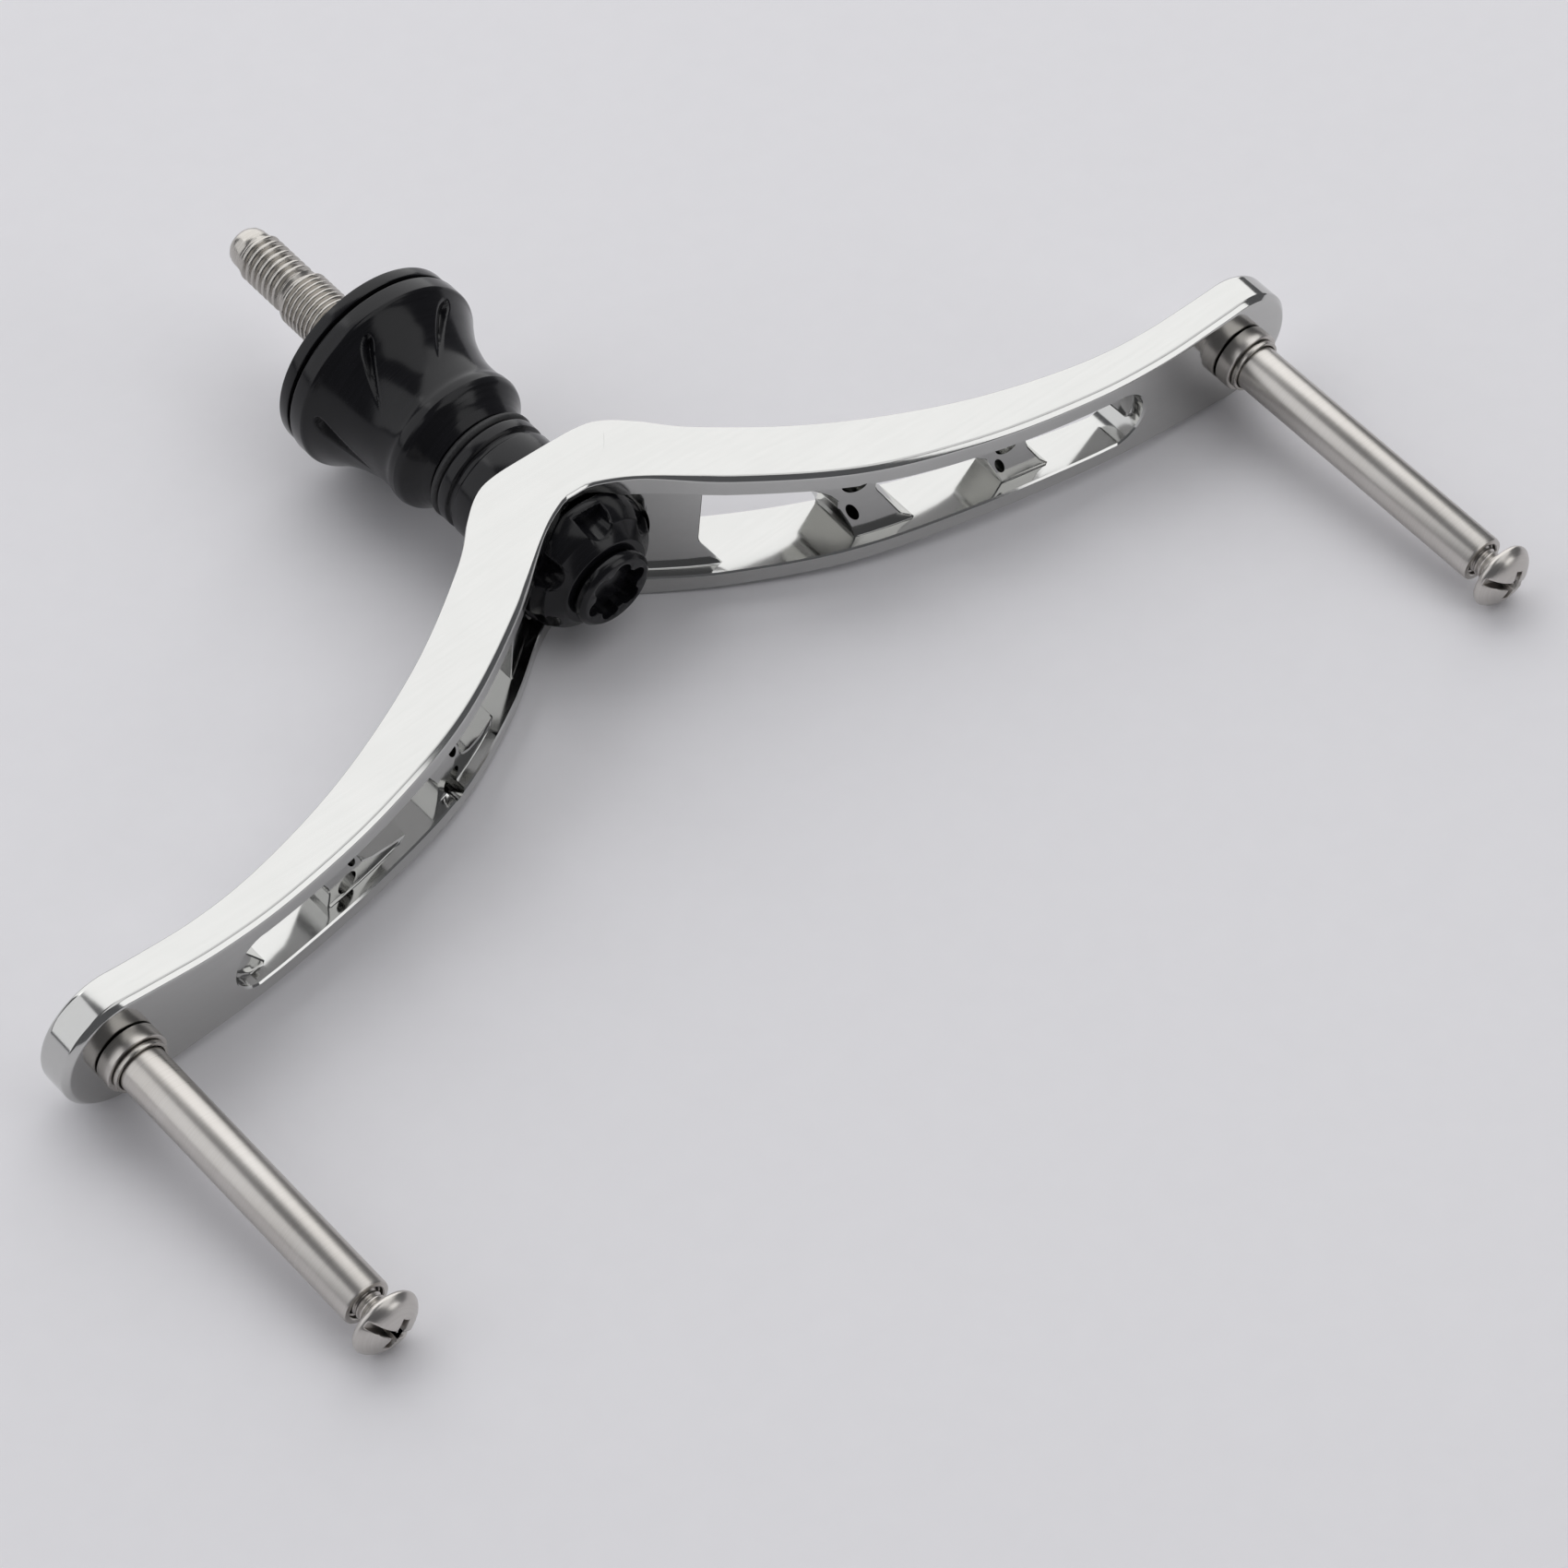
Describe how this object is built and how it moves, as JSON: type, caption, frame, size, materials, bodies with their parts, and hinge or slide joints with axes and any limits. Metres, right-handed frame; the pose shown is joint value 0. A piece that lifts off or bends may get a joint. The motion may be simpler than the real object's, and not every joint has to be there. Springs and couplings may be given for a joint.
{
  "type": "twin knob reel handle",
  "caption": "Gull-wing crank arm with a threaded drive stud on its hub and a bare knob post with an end screw on each wing.",
  "frame": {"origin": "centre of the seat disc's reel-side face, on the turning axis", "axes": "+Y along the turning axis out of the threaded stud, +X along the arm towards the right wing, +Z across the arm's height"},
  "size_m": [0.1234, 0.0902, 0.0176],
  "materials": {
    "polished_aluminium": "mirror polished",
    "black_anodised": "gloss black anodised",
    "black_rubber": "matt rubber",
    "threaded_steel": "bright cut thread",
    "satin_steel": "turned and polished"
  },
  "bodies": {
    "handle": {"arm": "polished_aluminium", "seat_disc": "black_anodised", "shank_body": "black_anodised", "neck_sleeve": "black_anodised", "groove_seal": "black_rubber", "neck_o_ring": "black_rubber", "drive_stud": "threaded_steel", "stud_lock_screw": "threaded_steel", "arm_washer": "threaded_steel", "left_drive_dowel": "threaded_steel", "right_drive_dowel": "threaded_steel", "left_shim": "threaded_steel", "right_shim": "threaded_steel", "left_post": "satin_steel", "right_post": "satin_steel", "left_collar": "satin_steel", "right_collar": "satin_steel"},
    "hub_cap": {"hub_cap": "black_anodised"},
    "hub_bolt": {"hub_bolt": "black_anodised"},
    "left_screw": {"left_knob_screw": "satin_steel"},
    "right_screw": {"right_knob_screw": "satin_steel"}
  },
  "joints": [
    {"name": "hub_bolt_travel", "type": "slide", "parent": "handle", "child": "hub_bolt", "axis": [0, -1, 0], "range_m": [0, 0.006]},
    {"name": "hub_cap_travel", "type": "slide", "parent": "handle", "child": "hub_cap", "axis": [0, -1, 0], "range_m": [0, 0.006]},
    {"name": "left_screw_travel", "type": "slide", "parent": "handle", "child": "left_screw", "axis": [0, -1, 0], "range_m": [-0.0014, 0.0045]},
    {"name": "right_screw_travel", "type": "slide", "parent": "handle", "child": "right_screw", "axis": [0, -1, 0], "range_m": [-0.0014, 0.0045]}
  ],
  "couplings": [
    {"joint": "hub_cap_travel", "follows": "hub_bolt_travel", "ratio": 1}
  ]
}
